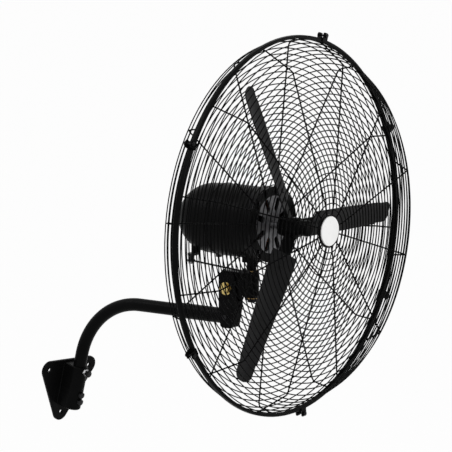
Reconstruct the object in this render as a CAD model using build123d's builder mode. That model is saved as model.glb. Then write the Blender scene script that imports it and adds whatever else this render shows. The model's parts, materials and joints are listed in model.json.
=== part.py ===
"""Wall mounted oscillating fan, in millimetres.

The origin is the centre of the wall plate's back face, on the wall.  +Z is up, the wall is the
plane Y = 0, and the fan blows towards -Y.  A bent tube arm stands in the plate's socket.  The
arm's free end carries a tilting bracket, the bracket carries the motor on an upright pivot post,
and the motor carries the wire guards and turns the blades.

The arm and everything on it are drawn in the head's own directions: forward (the way the air
goes), up and side.  A place on the head is (forward, up) from the centre of the guard's rim hoop.
"""
from build123d import *
import os
from math import cos, radians, sin, sqrt

os.makedirs("parts", exist_ok=True)

# ---------------------------------------------------------------- clearances
running_gap = 0.1          # radial, between a turning pin or shaft and its hole
side_gap = 0.3             # between faces that slide or turn past each other
seat_gap = 0.1             # around parts that are pushed into a seat and stay there
weld_gap = 0.05            # between two parts that are welded to each other

# ---------------------------------------------------------------- wall plate and socket
plate_side = 188.0         # sharp-cornered triangle, point down
plate_corner_radius = 20.0
plate_thickness = 6.0
plate_edge_chamfer = 1.0
anchor_hole_radius = 4.5
leg_offset = 34.0          # wall to the centre of the arm's upright leg
socket_width = 38.0
socket_top = 50.0
socket_bottom = -48.0
socket_floor = 6.0
socket_chamfer = 2.0
clamp_screw_radius = 4.0
clamp_head_flats = 13.0
clamp_head_height = 5.5
clamp_nut_height = 5.0
upper_clamp_height = 41.0
lower_clamp_heights = (-12.0, -28.0)
upper_clamp_standoff = 9.0  # socket front to the underside of the upper screw's head

# ---------------------------------------------------------------- arm
arm_swing = 8.0            # degrees, the arm is swung this far in its socket
arm_rise = 13.3            # degrees, the long run of the arm climbs away from the wall
tube_radius = 14.0
tube_wall = 2.5
corner_height = 205.5      # where the leg's and the long run's centre lines cross
bend_radius = 161.7
arm_reach = 519.5          # that crossing to the rim hoop, along the long run
head_height = 209.9        # the long run's centre line to the fan's axis

# ---------------------------------------------------------------- neck and tilt joint
tilt_forward = -150.0      # the tilt bolt, from the rim hoop's centre
tilt_up = -147.0
neck_back = -170.0
neck_front = -128.0
neck_bottom = -233.0
neck_top = -114.0
neck_waist = -187.0        # where the cheeks grow out of the solid foot
neck_half_width = 15.0
neck_foot_taper = 9.0
neck_corner_radius = 7.0
sleeve_back = -290.0
sleeve_wall = 2.4
tube_end = -140.0
lug_half_width = 7.8
lug_radius = 18.5
slot_bottom = -175.0       # clears the tilt block with the head tipped fully down
tilt_bolt_radius = 6.0
tilt_washer_radius = 14.0
tilt_washer_thickness = 2.2
tilt_head_flats = 20.0
tilt_head_height = 7.5
cross_bolt_radius = 3.0
cross_bolt_forward = -152.0
cross_head_flats = 10.0
cross_head_height = 4.0

# ---------------------------------------------------------------- upright pivot
pivot_forward = -94.0
pivot_top = -105.5         # housing, top and bottom faces
pivot_bottom = -162.0
housing_radius = 16.0
bush_wall = 2.4
bush_length = 22.0
bush_flange_radius = 15.0
bush_flange_thickness = 2.0
post_radius = 10.5
saddle_length = 34.0
saddle_half_width = 15.0
saddle_underside = -86.0
retainer_thickness = 3.0
retainer_radius = 14.5
retainer_head_flats = 17.0
retainer_head_height = 5.0
beam_top = -110.0          # the lug's beam that carries the pivot housing
beam_bottom = -158.0

# ---------------------------------------------------------------- motor
motor_radius = 77.0
motor_wall = 4.0
motor_back = -163.0        # body and rear cover meet here
motor_front = -66.0        # body and end bell meet here
bell_radius = 80.5
bell_front = -40.0
bell_face_thickness = 4.0
bell_rim_wall = 5.0
bell_boss_radius = 23.0
bell_slot_count = 8
bell_slot_width = 13.0
bell_slot_circle = 45.0
bell_slot_length = 30.0
cover_wall = 2.5
cover_dome_start = -190.0
cover_dome_length = 80.0
cover_dome_radius = 75.0
cover_screw_radius = 2.5
cover_boss_radius = 7.0
shaft_radius = 8.0
shaft_tail_radius = 4.0
shaft_front = 46.0
shaft_tail_end = -240.0
bearing_radius = 17.5
bearing_width = 12.0
front_bearing_back = -62.0
rear_bearing_back = -177.0
end_plate_thickness = 9.0
end_plate_back = -169.0    # its rim is pressed into the body's back end
stator_bore = 48.0
air_gap = 0.6
stack_back = -146.0
stack_front = -86.0
winding_overhang = 12.0
winding_inner_radius = 51.0
winding_outer_radius = 67.0
gland_side = 34.0
gland_forward = -205.0
gland_radius = 9.0
gland_bore = 4.5
gland_length = 26.0

# ---------------------------------------------------------------- swing drive under the motor
crank_side = -20.0
crank_forward = -226.0
crank_shaft_radius = 5.0
drive_housing_radius = 10.0
drive_housing_top = -16.0
drive_housing_bottom = -74.0
worm_radius = 6.5
worm_length = 22.0
wheel_radius = 13.0
wheel_height = 10.0
wheel_teeth = 24
crank_throw = 17.0
crank_plate_thickness = 6.0
crank_plate_half_width = 8.0
crank_pin_radius = 4.0
standoff_flats = 13.0
standoff_height = 8.0
link_thickness = 4.0
link_eye_radius = 8.5
link_rod_radius = 2.0
pin_nut_height = 4.5
anchor_side = -26.0        # fixed pin on the pivot housing that the link pulls against
anchor_pin_radius = 2.5
anchor_play = 3.5          # around the fixed pin, in the link's front eye
anchor_eye_wall = 4.0
anchor_ear_thickness = 5.0
anchor_ear_radius = 7.0
anchor_head_radius = 8.5
anchor_head_height = 3.5

# ---------------------------------------------------------------- guards
hoop_radius = 400.0        # to the centre of the rim hoop
hoop_half_width = 5.75
hoop_wall = 1.5
hoop_lip_radius = 398.9    # inner edge of the hoop's two lips
rim_wire_radius = 2.05
ring_wire_radius = 1.25
ring_wire_sides = 8        # flats around a ring's thin round wire, which keep sixty rings light
rib_wire_radius = 1.6
rib_count = 12
front_rib_phase = 16.5     # degrees, the first rib from straight up towards +side
back_rib_phase = 8.0
rib_bend_radius = 12.0
ring_pitch = 12.4
front_flat = 107.0         # the ribs' plane in the middle of the front guard
front_flat_radius = 58.0
front_corner = 71.0        # where the front guard's cone meets its slanted wall
front_corner_radius = 354.0
back_flat = -36.4
back_corner_radius = 388.0
front_first_ring = 46.0
back_first_ring = 84.5     # just outside the mounting ring
side_wall_radius = 397.0
side_wall_start = 6.0      # both walls slant inwards from here
rim_wire_offset = 2.15
badge_radius = 31.5
badge_thickness = 3.0
badge_face = 110.5
dish_radius = 35.5
dish_back = 104.0
dish_wall = 2.0
mount_ring_inner = 62.0
mount_ring_thickness = 2.0
mount_screw_radius = 2.5
mount_screw_circle = 72.5
mount_screw_count = 4
clip_angles = (18.0, 66.0, 119.0, 173.0, 237.0, 302.0)
clip_width = 16.0
clip_wall = 2.2
clip_ear_height = 11.0
clip_screw_radius = 2.0
clip_head_flats = 8.0
clip_head_height = 3.5

# ---------------------------------------------------------------- blades
blade_count = 3
blade_phase = 118.0        # degrees, the first blade from +side towards up
blade_plane = 16.5
blade_tip_radius = 356.0
blade_root_radius = 62.0
blade_thickness = 2.5
blade_root_pitch = 26.0
blade_tip_pitch = 12.5
blade_root_width = 62.0
blade_inner_width = 58.0   # a third of the way out
blade_outer_width = 52.0
blade_tip_width = 45.0
blade_camber = 5.0
hub_radius = 21.0
hub_back = -14.0
hub_front = 28.0
hub_arm_reach = 104.0
hub_arm_width = 28.0
hub_arm_thickness = 6.0
nose_radius = 17.0
nose_front = 58.0
blade_bolt_radius = 3.0
blade_bolt_places = (72.0, 94.0)
hub_screw_radius = 3.0
hub_screw_forward = 20.0
blade_tip_rounding = 19.0

# ---------------------------------------------------------------- directions and planes
forward = Vector(
    sin(radians(arm_swing)) * cos(radians(arm_rise)),
    -cos(radians(arm_swing)) * cos(radians(arm_rise)),
    sin(radians(arm_rise)),
)
up = Vector(
    -sin(radians(arm_swing)) * sin(radians(arm_rise)),
    cos(radians(arm_swing)) * sin(radians(arm_rise)),
    cos(radians(arm_rise)),
)
side = Vector(cos(radians(arm_swing)), sin(radians(arm_swing)), 0)
corner = Vector(0, -leg_offset, corner_height)
head_centre = corner + forward * arm_reach + up * head_height
fan_axis = Axis(head_centre, forward)


def across(distance):
    """Plane square to the fan's axis: local x is side, local y is up, normal is forward."""
    return Plane(origin=head_centre + forward * distance, x_dir=side, z_dir=forward)


def along(distance=0.0):
    """Plane along the fan's axis: local x is forward, local y is up, normal is -side."""
    return Plane(origin=head_centre + side * distance, x_dir=forward, z_dir=side * -1)


def level(distance):
    """Plane across the pivot post: local x is forward, local y is side, normal is up."""
    return Plane(origin=head_centre + up * distance, x_dir=forward, z_dir=up)


def hexagon(flats):
    """Radius to the corners of a hexagon that measures this much across its flats."""
    return flats / sqrt(3)


def export(part, name):
    """Label a finished piece and write it to parts/."""
    part.label = name
    export_step(part, "parts/" + name + ".step")


# ---------------------------------------------------------------- wall plate
anchor_circle_radius = plate_side / sqrt(3) - 2 * plate_corner_radius
with BuildPart() as wall_plate:
    with BuildSketch(Plane.XZ):
        RegularPolygon(radius=plate_side / sqrt(3), side_count=3, rotation=-90)
        fillet(vertices(), plate_corner_radius)
        with PolarLocations(anchor_circle_radius, 3, start_angle=-90):
            Circle(anchor_hole_radius, mode=Mode.SUBTRACT)
    extrude(amount=plate_thickness)
    chamfer(wall_plate.edges().group_by(Axis.Y)[0], plate_edge_chamfer)
export(wall_plate.part, "wall_plate")

# ---------------------------------------------------------------- socket and its clamp screws
socket_front = leg_offset + socket_width / 2
socket_depth = leg_offset - plate_thickness
clamp_heights = (upper_clamp_height, *lower_clamp_heights)
with BuildPart() as arm_socket:
    with BuildSketch(Plane.XY.offset(socket_bottom)):
        with Locations((0, -leg_offset)):
            Circle(socket_width / 2)
            Rectangle(socket_width, socket_depth, align=(Align.CENTER, Align.MIN))
    extrude(amount=socket_top - socket_bottom)
    chamfer(arm_socket.faces().filter_by(Axis.Z).edges().filter_by(
        lambda edge: edge.center().Y < -plate_thickness - 1), socket_chamfer)
    with BuildSketch(Plane.XY.offset(socket_bottom + socket_floor)):
        with Locations((0, -leg_offset)):
            Circle(tube_radius + seat_gap)
    extrude(amount=socket_top - socket_bottom, mode=Mode.SUBTRACT)
    with BuildSketch(Plane.XZ.offset(leg_offset)):
        with Locations(*[(0, height) for height in clamp_heights]):
            Circle(clamp_screw_radius + seat_gap)
    extrude(amount=socket_width, mode=Mode.SUBTRACT)
export(arm_socket.part, "arm_socket")

clamp_tip = leg_offset + tube_radius + seat_gap + side_gap
clamp_head_seat = socket_front + side_gap
with BuildPart() as clamp_screws:
    for height in clamp_heights:
        head_seat = clamp_head_seat if height in lower_clamp_heights else socket_front + upper_clamp_standoff
        with BuildSketch(Plane.XZ.offset(clamp_tip)):
            with Locations((0, height)):
                Circle(clamp_screw_radius)
        extrude(amount=head_seat - clamp_tip)
        with BuildSketch(Plane.XZ.offset(head_seat)):
            with Locations((0, height)):
                RegularPolygon(hexagon(clamp_head_flats), 6)
        extrude(amount=clamp_head_height)
export(clamp_screws.part, "clamp_screws")

with BuildPart() as clamp_lock_nut:
    with BuildSketch(Plane.XZ.offset(socket_front + side_gap)):
        with Locations((0, upper_clamp_height)):
            RegularPolygon(hexagon(clamp_head_flats), 6)
            Circle(clamp_screw_radius + seat_gap, mode=Mode.SUBTRACT)
    extrude(amount=clamp_nut_height)
export(clamp_lock_nut.part, "clamp_lock_nut")

# ---------------------------------------------------------------- arm tube
leg_foot = Vector(0, -leg_offset, socket_bottom + socket_floor + side_gap)
neck_end = corner + forward * (arm_reach + tube_end)
with BuildPart() as arm_tube:
    with BuildLine() as arm_path:
        FilletPolyline(leg_foot, corner, neck_end, radius=bend_radius)
    with BuildSketch(Plane(origin=leg_foot, z_dir=(0, 0, 1))):
        Circle(tube_radius)
        Circle(tube_radius - tube_wall, mode=Mode.SUBTRACT)
    sweep(path=arm_path.line)
    with BuildSketch(along()):
        with Locations((cross_bolt_forward, -head_height)):
            Circle(cross_bolt_radius + seat_gap)
    extrude(amount=2 * tube_radius, both=True, mode=Mode.SUBTRACT)
export(arm_tube.part, "arm_tube")

# ---------------------------------------------------------------- neck casting
with BuildPart() as neck_casting:
    with BuildSketch(along()):
        with BuildLine():
            Polyline(
                (neck_back, neck_top),
                (neck_front, neck_top),
                (neck_front, neck_waist),
                (neck_front - neck_foot_taper, neck_bottom),
                (neck_back + neck_foot_taper / 2, neck_bottom),
                (neck_back, neck_waist),
                close=True,
            )
        make_face()
        fillet(vertices(), neck_corner_radius)
    extrude(amount=neck_half_width, both=True)
    with BuildSketch(across(sleeve_back)):
        with Locations((0, -head_height)):
            Circle(tube_radius + seat_gap + sleeve_wall)
    extrude(amount=neck_back + neck_foot_taper - sleeve_back)
    with BuildSketch(across(sleeve_back)):
        with Locations((0, -head_height)):
            Circle(tube_radius + seat_gap)
    extrude(amount=tube_end + side_gap - sleeve_back, mode=Mode.SUBTRACT)
    with BuildSketch(along()):
        with Locations(((neck_back + neck_front) / 2, slot_bottom)):
            Rectangle(2 * (neck_front - neck_back), neck_top - slot_bottom + neck_corner_radius,
                      align=(Align.CENTER, Align.MIN))
    extrude(amount=lug_half_width + side_gap, both=True, mode=Mode.SUBTRACT)
    with BuildSketch(along()):
        with Locations((tilt_forward, tilt_up)):
            Circle(tilt_bolt_radius + running_gap)
        with Locations((cross_bolt_forward, -head_height)):
            Circle(cross_bolt_radius + seat_gap)
    extrude(amount=2 * neck_half_width, both=True, mode=Mode.SUBTRACT)
export(neck_casting.part, "neck_casting")


# ---------------------------------------------------------------- tilt bolt, nut and washers
head_side = -neck_half_width - side_gap      # the bolt's head is on the -side cheek
nut_side = neck_half_width + side_gap
with BuildPart() as tilt_bolt:
    with BuildSketch(along(head_side - tilt_washer_thickness)):
        with Locations((tilt_forward, tilt_up)):
            RegularPolygon(hexagon(tilt_head_flats), 6)
    extrude(amount=tilt_head_height)
    chamfer(tilt_bolt.faces().sort_by(Axis(head_centre, side))[0].edges(), 1)
    with BuildSketch(along(head_side - tilt_washer_thickness)):
        with Locations((tilt_forward, tilt_up)):
            Circle(tilt_bolt_radius)
    extrude(amount=-(nut_side - head_side + 2 * tilt_washer_thickness + tilt_head_height + 3))
export(tilt_bolt.part, "tilt_bolt")

with BuildPart() as tilt_washers:
    for face in (head_side, nut_side + tilt_washer_thickness):
        with BuildSketch(along(face)):
            with Locations((tilt_forward, tilt_up)):
                Circle(tilt_washer_radius)
                Circle(tilt_bolt_radius + seat_gap, mode=Mode.SUBTRACT)
        extrude(amount=tilt_washer_thickness)
export(tilt_washers.part, "tilt_washers")

with BuildPart() as tilt_nut:
    with BuildSketch(along(nut_side + tilt_washer_thickness)):
        with Locations((tilt_forward, tilt_up)):
            RegularPolygon(hexagon(tilt_head_flats), 6)
            Circle(tilt_bolt_radius + seat_gap, mode=Mode.SUBTRACT)
    extrude(amount=-tilt_head_height)
export(tilt_nut.part, "tilt_nut")

# ---------------------------------------------------------------- bolt that locks the arm in the neck
with BuildPart() as cross_bolt:
    with BuildSketch(along(-neck_half_width)):
        with Locations((cross_bolt_forward, -head_height)):
            RegularPolygon(hexagon(cross_head_flats), 6)
    extrude(amount=cross_head_height)
    with BuildSketch(along(-neck_half_width)):
        with Locations((cross_bolt_forward, -head_height)):
            Circle(cross_bolt_radius)
    extrude(amount=-(2 * neck_half_width + cross_head_height + 2))
export(cross_bolt.part, "cross_bolt")

with BuildPart() as cross_bolt_nut:
    with BuildSketch(along(neck_half_width)):
        with Locations((cross_bolt_forward, -head_height)):
            RegularPolygon(hexagon(cross_head_flats), 6)
            Circle(cross_bolt_radius + seat_gap, mode=Mode.SUBTRACT)
    extrude(amount=-cross_head_height)
export(cross_bolt_nut.part, "cross_bolt_nut")

# ---------------------------------------------------------------- tilt block with the pivot housing
ear_underside = pivot_top - anchor_ear_thickness
with BuildPart() as tilt_block:
    with BuildSketch(along()):
        with Locations((tilt_forward, tilt_up)):
            Circle(lug_radius)
        with BuildLine():
            Polyline(
                (tilt_forward - lug_radius, tilt_up),
                (tilt_forward - lug_radius, beam_top),
                (pivot_forward, beam_top),
                (pivot_forward, beam_bottom),
                (tilt_forward, tilt_up - lug_radius),
                close=True,
            )
        make_face()
    extrude(amount=lug_half_width, both=True)
    with BuildSketch(level(pivot_bottom)):
        with Locations((pivot_forward, 0)):
            Circle(housing_radius)
    extrude(amount=pivot_top - pivot_bottom)
    with BuildSketch(level(ear_underside)):
        with Locations((pivot_forward, anchor_side)):
            Circle(anchor_ear_radius)
        with Locations((pivot_forward, anchor_side / 2)):
            Rectangle(2 * anchor_ear_radius, -anchor_side)
    extrude(amount=anchor_ear_thickness)
    with BuildSketch(level(pivot_bottom)):
        with Locations((pivot_forward, 0)):
            Circle(post_radius + running_gap + bush_wall)
    extrude(amount=pivot_top - pivot_bottom, mode=Mode.SUBTRACT)
    with BuildSketch(level(pivot_bottom)):
        with Locations((pivot_forward, anchor_side)):
            Circle(anchor_pin_radius + weld_gap)
    extrude(amount=pivot_top - pivot_bottom, mode=Mode.SUBTRACT)
    with BuildSketch(along()):
        with Locations((tilt_forward, tilt_up)):
            Circle(tilt_bolt_radius + running_gap)
    extrude(amount=2 * lug_half_width, both=True, mode=Mode.SUBTRACT)
export(tilt_block.part, "tilt_block")

bush_radius = post_radius + running_gap + bush_wall
with BuildPart() as pivot_bushes:
    for face, inward in ((pivot_top, -1), (pivot_bottom, 1)):
        with BuildSketch(level(face)):
            with Locations((pivot_forward, 0)):
                Circle(bush_radius)
                Circle(bush_radius - bush_wall, mode=Mode.SUBTRACT)
        extrude(amount=inward * bush_length)
        with BuildSketch(level(face)):
            with Locations((pivot_forward, 0)):
                Circle(bush_flange_radius)
                Circle(bush_radius - bush_wall, mode=Mode.SUBTRACT)
        extrude(amount=-inward * bush_flange_thickness)
export(pivot_bushes.part, "pivot_bushes")

link_front_underside = pivot_top + side_gap
anchor_head_underside = link_front_underside + link_thickness + side_gap
with BuildPart() as link_anchor:
    with BuildSketch(level(ear_underside)):
        with Locations((pivot_forward, anchor_side)):
            Circle(anchor_pin_radius)
    extrude(amount=anchor_head_underside - ear_underside)
    with BuildSketch(level(anchor_head_underside)):
        with Locations((pivot_forward, anchor_side)):
            Circle(anchor_head_radius)
    extrude(amount=anchor_head_height / 3)
    with BuildSketch(level(anchor_head_underside + anchor_head_height / 3)):
        with Locations((pivot_forward, anchor_side)):
            RegularPolygon(hexagon(2 * crank_pin_radius), 6)
    extrude(amount=anchor_head_height)
export(link_anchor.part, "link_anchor")

# ---------------------------------------------------------------- pivot post under the motor
post_foot = pivot_bottom - bush_flange_thickness
with BuildPart() as pivot_post:
    with BuildSketch(level(post_foot)):
        with Locations((pivot_forward, 0)):
            Circle(post_radius)
    extrude(amount=saddle_underside + 1 - post_foot)
    with BuildSketch(level(saddle_underside)):
        with Locations((pivot_forward, 0)):
            Rectangle(saddle_length, 2 * saddle_half_width)
            fillet(vertices(), 5)
    extrude(amount=motor_radius)
    with BuildSketch(across(pivot_forward - saddle_length)):
        Circle(motor_radius + weld_gap)
    extrude(amount=2 * saddle_length, mode=Mode.SUBTRACT)
export(pivot_post.part, "pivot_post")

with BuildPart() as pivot_retainer:
    with BuildSketch(level(post_foot - side_gap)):
        with Locations((pivot_forward, 0)):
            Circle(retainer_radius)
    extrude(amount=-retainer_thickness)
    with BuildSketch(level(post_foot - side_gap - retainer_thickness)):
        with Locations((pivot_forward, 0)):
            RegularPolygon(hexagon(retainer_head_flats), 6)
    extrude(amount=-retainer_head_height)
export(pivot_retainer.part, "pivot_retainer")

# ---------------------------------------------------------------- motor body, covers and bearings
with BuildPart() as motor_body:
    with BuildSketch(across(motor_back)):
        Circle(motor_radius)
        Circle(motor_radius - motor_wall, mode=Mode.SUBTRACT)
    extrude(amount=motor_front - motor_back)
export(motor_body.part, "motor_body")

with BuildPart() as rear_cover:
    with BuildSketch(along()):
        with BuildLine():
            outer = EllipticalCenterArc((cover_dome_start, 0), cover_dome_length, cover_dome_radius,
                                        start_angle=90, arc_size=90)
            inner = EllipticalCenterArc((cover_dome_start, 0), cover_dome_length - cover_wall,
                                        cover_dome_radius - cover_wall, start_angle=90, arc_size=90)
            Line(outer @ 1, inner @ 1)
            Polyline(outer @ 0, (motor_back, motor_radius), (motor_back, motor_radius - cover_wall),
                     inner @ 0)
        make_face()
    revolve(axis=fan_axis)
    with BuildSketch(across(cover_dome_start - 2 * cover_dome_length)):
        Circle(cover_screw_radius + seat_gap)
    extrude(amount=2 * cover_dome_length, mode=Mode.SUBTRACT)
    with BuildSketch(level(0)):
        with Locations((crank_forward, crank_side)):
            Circle(drive_housing_radius + 2 * seat_gap)
        with Locations((gland_forward, gland_side)):
            Circle(gland_radius - 1)
    extrude(amount=-2 * motor_radius, mode=Mode.SUBTRACT)
export(rear_cover.part, "rear_cover")

cover_apex = cover_dome_start - cover_dome_length
with BuildPart() as cover_screw:
    with BuildSketch(across(cover_apex - seat_gap)):
        Circle(cover_boss_radius)
    extrude(amount=-cover_screw_radius)
    fillet(cover_screw.faces().sort_by(Axis(head_centre, forward))[0].edges(), 1.5)
    with BuildSketch(across(cover_apex - seat_gap)):
        Circle(cover_screw_radius)
    extrude(amount=shaft_tail_end - cover_apex - 4)
export(cover_screw.part, "cover_screw")

with BuildPart() as end_bell:
    with BuildSketch(across(motor_front)):
        Circle(bell_radius)
    extrude(amount=bell_front - motor_front)
    fillet(end_bell.faces().sort_by(Axis(head_centre, forward))[-1].edges(), 4)
    with BuildSketch(across(motor_front)):
        Circle(bell_radius - bell_rim_wall)
        Circle(bell_boss_radius, mode=Mode.SUBTRACT)
    extrude(amount=bell_front - bell_face_thickness - motor_front, mode=Mode.SUBTRACT)
    with BuildSketch(across(motor_front)):
        Circle(bearing_radius)
    extrude(amount=front_bearing_back + bearing_width - motor_front, mode=Mode.SUBTRACT)
    with BuildSketch(across(motor_front)):
        Circle(shaft_radius + 1)
        with PolarLocations(mount_screw_circle, mount_screw_count, start_angle=45):
            Circle(mount_screw_radius + seat_gap)
        with PolarLocations(bell_slot_circle, bell_slot_count, start_angle=180 / bell_slot_count):
            SlotOverall(bell_slot_length, bell_slot_width)
    extrude(amount=2 * (bell_front - motor_front), mode=Mode.SUBTRACT)
export(end_bell.part, "end_bell")

with BuildPart() as rear_end_plate:
    with BuildSketch(across(end_plate_back)):
        Circle(motor_radius - motor_wall - seat_gap)
        Circle(bearing_radius, mode=Mode.SUBTRACT)
    extrude(amount=end_plate_thickness)
    with BuildSketch(across(rear_bearing_back)):
        Circle(bell_boss_radius)
        Circle(bearing_radius, mode=Mode.SUBTRACT)
    extrude(amount=bearing_width)
export(rear_end_plate.part, "rear_end_plate")


def bearing(back):
    """Ring of a ball bearing whose bore the shaft turns in."""
    with BuildPart() as ring:
        with BuildSketch(across(back)):
            Circle(bearing_radius - seat_gap / 2)
            Circle(shaft_radius + running_gap, mode=Mode.SUBTRACT)
        extrude(amount=bearing_width - side_gap)
        chamfer(ring.edges().filter_by(GeomType.CIRCLE), 0.6)
    return ring.part


export(bearing(front_bearing_back), "front_bearing")
export(bearing(rear_bearing_back), "rear_bearing")

with BuildPart() as stator_stack:
    with BuildSketch(across(stack_back)):
        Circle(motor_radius - motor_wall - seat_gap)
        Circle(stator_bore, mode=Mode.SUBTRACT)
    extrude(amount=stack_front - stack_back)
export(stator_stack.part, "stator_stack")

with BuildPart() as stator_windings:
    for face, outward in ((stack_front, 1), (stack_back, -1)):
        with BuildSketch(across(face + outward * side_gap)):
            Circle(winding_outer_radius)
            Circle(winding_inner_radius, mode=Mode.SUBTRACT)
        extrude(amount=outward * winding_overhang)
    fillet(stator_windings.edges().filter_by(GeomType.CIRCLE), 3)
export(stator_windings.part, "stator_windings")

# ---------------------------------------------------------------- cable gland
gland_drop = sqrt(cover_dome_radius ** 2 * (1 - ((gland_forward - cover_dome_start) / cover_dome_length) ** 2)
                  - gland_side ** 2)
with BuildPart() as cable_gland:
    with BuildSketch(level(-gland_drop - 6)):
        with Locations((gland_forward, gland_side)):
            RegularPolygon(gland_radius + 2, 6)
    extrude(amount=-6)
    with BuildSketch(level(-gland_drop - 6)):
        with Locations((gland_forward, gland_side)):
            Circle(gland_radius - 1 - seat_gap)
    extrude(amount=16)
    with BuildSketch(level(-gland_drop - 12)):
        with Locations((gland_forward, gland_side)):
            Circle(gland_radius - 1)
    extrude(amount=-gland_length / 2, taper=8)
    with BuildSketch(level(0)):
        with Locations((gland_forward, gland_side)):
            Circle(gland_bore)
    extrude(amount=-2 * motor_radius, mode=Mode.SUBTRACT)
export(cable_gland.part, "cable_gland")

# ---------------------------------------------------------------- swing drive: housing, crank and link
with BuildPart() as drive_housing:
    with BuildSketch(level(drive_housing_bottom)):
        with Locations((crank_forward, crank_side)):
            Circle(drive_housing_radius)
    extrude(amount=drive_housing_top - drive_housing_bottom)
    with BuildSketch(along(crank_side)):
        with BuildLine():
            Polyline(
                (crank_forward, drive_housing_top),
                (rear_bearing_back - side_gap, drive_housing_top - drive_housing_radius),
                (end_plate_back - seat_gap, drive_housing_top - drive_housing_radius),
                (end_plate_back - seat_gap, -motor_radius + 3 * motor_wall),
                (crank_forward, -motor_radius / 2),
                close=True,
            )
        make_face()
    extrude(amount=drive_housing_radius / 2, both=True)
    with BuildSketch(level(drive_housing_bottom)):
        with Locations((crank_forward, crank_side)):
            Circle(crank_shaft_radius + running_gap)
    extrude(amount=drive_housing_top - drive_housing_bottom, mode=Mode.SUBTRACT)
export(drive_housing.part, "drive_housing")

wheel_underside = -wheel_height / 2
crank_top = drive_housing_bottom - side_gap
with BuildPart() as crank_shaft:
    with BuildSketch(level(crank_top)):
        with Locations((crank_forward, crank_side)):
            Circle(crank_shaft_radius)
    extrude(amount=wheel_height / 2 + 1 - crank_top)
    with BuildSketch(level(wheel_underside - seat_gap)):
        with Locations((crank_forward, crank_side)):
            Circle(crank_shaft_radius + 2)
    extrude(amount=-(wheel_underside - seat_gap - drive_housing_top - side_gap))
export(crank_shaft.part, "crank_shaft")

tooth_depth = 1.6
with BuildPart() as worm_wheel:
    with BuildSketch(level(wheel_underside)):
        with Locations((crank_forward, crank_side)):
            Circle(wheel_radius)
            Circle(crank_shaft_radius + seat_gap / 2, mode=Mode.SUBTRACT)
            with PolarLocations(wheel_radius, wheel_teeth):
                Rectangle(2 * tooth_depth, tooth_depth, mode=Mode.SUBTRACT)
    extrude(amount=wheel_height)
export(worm_wheel.part, "worm_wheel")

pin_side = crank_side - crank_throw
with BuildPart() as crank_arm:
    with BuildSketch(level(crank_top)):
        with Locations((crank_forward, crank_side), (crank_forward, pin_side)):
            Circle(crank_plate_half_width)
        with Locations((crank_forward, (crank_side + pin_side) / 2)):
            Rectangle(2 * crank_plate_half_width, crank_throw)
    extrude(amount=-crank_plate_thickness)
    chamfer(crank_arm.faces().filter_by(Axis(head_centre, up)).edges(), 0.6)
export(crank_arm.part, "crank_arm")

standoff_top = crank_top - crank_plate_thickness
link_back_top = standoff_top - standoff_height - side_gap
pin_nut_top = link_back_top - link_thickness - side_gap
with BuildPart() as crank_pin:
    with BuildSketch(level(standoff_top)):
        with Locations((crank_forward, pin_side)):
            RegularPolygon(hexagon(standoff_flats), 6)
    extrude(amount=-standoff_height)
    with BuildSketch(level(standoff_top)):
        with Locations((crank_forward, pin_side)):
            Circle(crank_pin_radius)
    extrude(amount=pin_nut_top - pin_nut_height - standoff_top)
export(crank_pin.part, "crank_pin")

with BuildPart() as crank_pin_nut:
    with BuildSketch(level(pin_nut_top)):
        with Locations((crank_forward, pin_side)):
            RegularPolygon(hexagon(standoff_flats), 6)
            Circle(crank_pin_radius + seat_gap, mode=Mode.SUBTRACT)
    extrude(amount=-pin_nut_height + side_gap)
export(crank_pin_nut.part, "crank_pin_nut")

link_back_middle = link_back_top - link_thickness / 2
link_front_middle = link_front_underside + link_thickness / 2
anchor_eye_bore = anchor_pin_radius + anchor_play
back_eye = head_centre + forward * crank_forward + side * pin_side + up * link_back_middle
front_eye = head_centre + forward * pivot_forward + side * anchor_side + up * link_front_middle
link_run = front_eye - back_eye
with BuildPart() as link_rod:
    with BuildSketch(level(link_back_top)):
        with Locations((crank_forward, pin_side)):
            Circle(link_eye_radius)
    extrude(amount=-link_thickness)
    with BuildSketch(level(link_front_underside)):
        with Locations((pivot_forward, anchor_side)):
            Circle(anchor_eye_bore + anchor_eye_wall)
    extrude(amount=link_thickness)
    with BuildSketch(Plane(origin=back_eye, z_dir=link_run)):
        Circle(link_rod_radius)
    extrude(amount=link_run.length)
    for height, bore, spot in (
        (link_back_middle, crank_pin_radius + running_gap, (crank_forward, pin_side)),
        (link_front_middle, anchor_eye_bore, (pivot_forward, anchor_side)),
    ):
        with BuildSketch(level(height)):
            with Locations(spot):
                Circle(bore)
        extrude(amount=4 * link_thickness, both=True, mode=Mode.SUBTRACT)
    for height, outward in ((link_back_top, 1), (link_back_top - link_thickness, -1)):
        with BuildSketch(level(height)):
            with Locations((crank_forward, pin_side)):
                Circle(link_eye_radius)
        extrude(amount=outward * link_rod_radius, mode=Mode.SUBTRACT)
    for height, outward in ((link_front_underside, -1), (link_front_underside + link_thickness, 1)):
        with BuildSketch(level(height)):
            with Locations((pivot_forward, anchor_side)):
                Circle(anchor_eye_bore + anchor_eye_wall + 2)
        extrude(amount=outward * link_rod_radius, mode=Mode.SUBTRACT)
export(link_rod.part, "link_rod")

# ---------------------------------------------------------------- rotor: shaft, core, worm and hub
with BuildPart() as motor_shaft:
    with BuildSketch(across(rear_bearing_back)):
        Circle(shaft_radius)
    extrude(amount=shaft_front - rear_bearing_back)
    with BuildSketch(across(shaft_tail_end)):
        Circle(shaft_tail_radius)
    extrude(amount=rear_bearing_back - shaft_tail_end)
    chamfer(motor_shaft.faces().sort_by(Axis(head_centre, forward))[-1].edges(), 1)
export(motor_shaft.part, "motor_shaft")

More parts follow.
